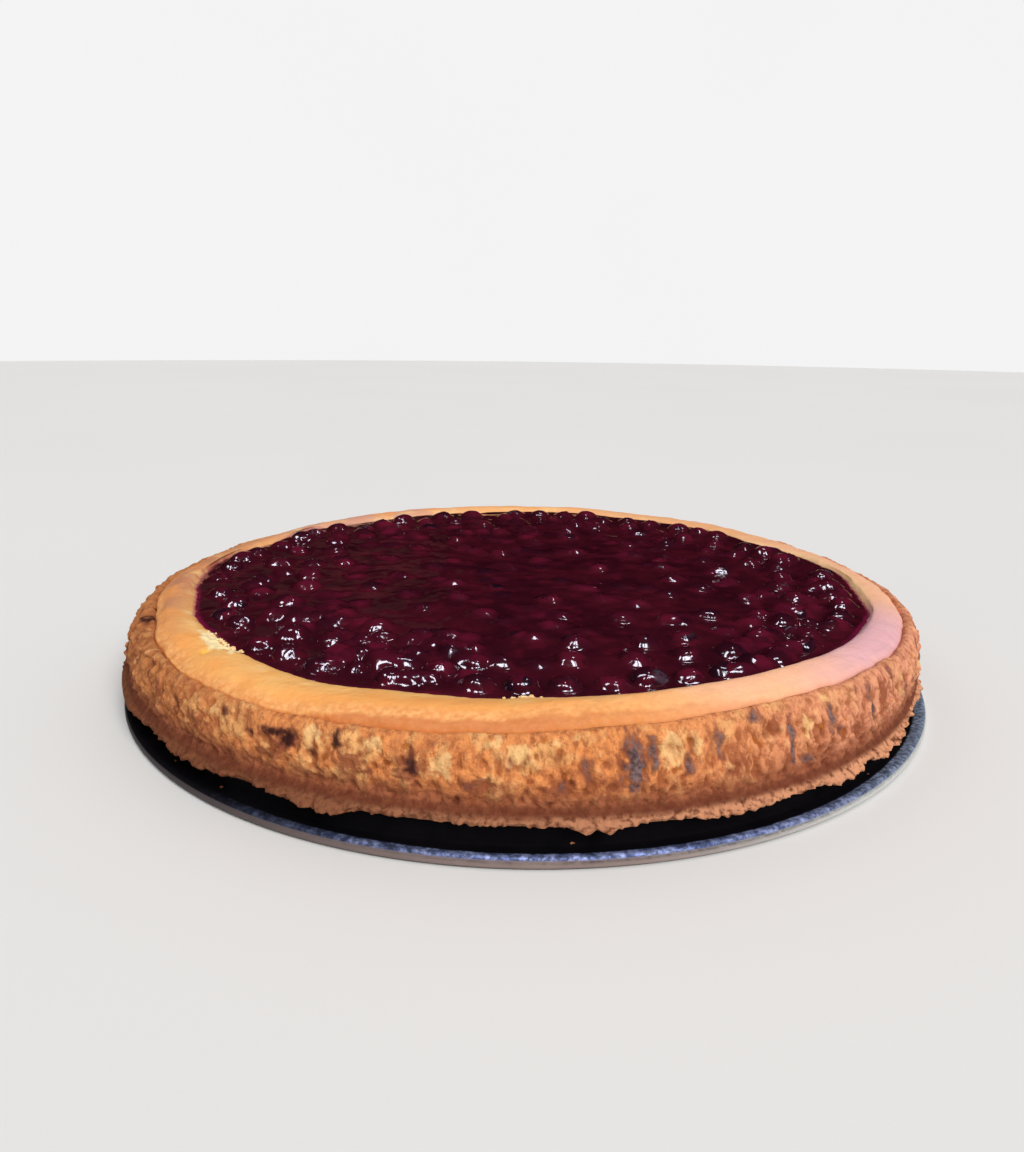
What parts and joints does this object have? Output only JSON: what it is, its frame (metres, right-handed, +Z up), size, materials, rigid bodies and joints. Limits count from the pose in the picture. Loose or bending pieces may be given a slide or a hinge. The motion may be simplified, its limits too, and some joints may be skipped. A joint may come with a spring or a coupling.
{
  "type": "blueberry cheesecake",
  "caption": "Whole round baked cheesecake in a shortcrust case, topped with glazed blueberries, standing on its springform tin base.",
  "frame": {"origin": "on the standing surface, under the middle of the tin base", "axes": "+Z up through the middle of the cake; -Y faces the picture's camera"},
  "size_m": [0.268, 0.268, 0.0333],
  "materials": {
    "tin_coating": "black non-stick coating, worn blue-grey at the bead",
    "pastry": "rough golden-brown shortcrust",
    "baked_cheese": "smooth satin baked cheese, pale yellow to apricot",
    "berry_glaze": "wet dark purple-red glaze over blueberries"
  },
  "bodies": {
    "root": {"tin_base": "tin_coating", "pastry_case": "pastry", "cheese_filling": "baked_cheese", "blueberry_topping": "berry_glaze"}
  },
  "joints": []
}
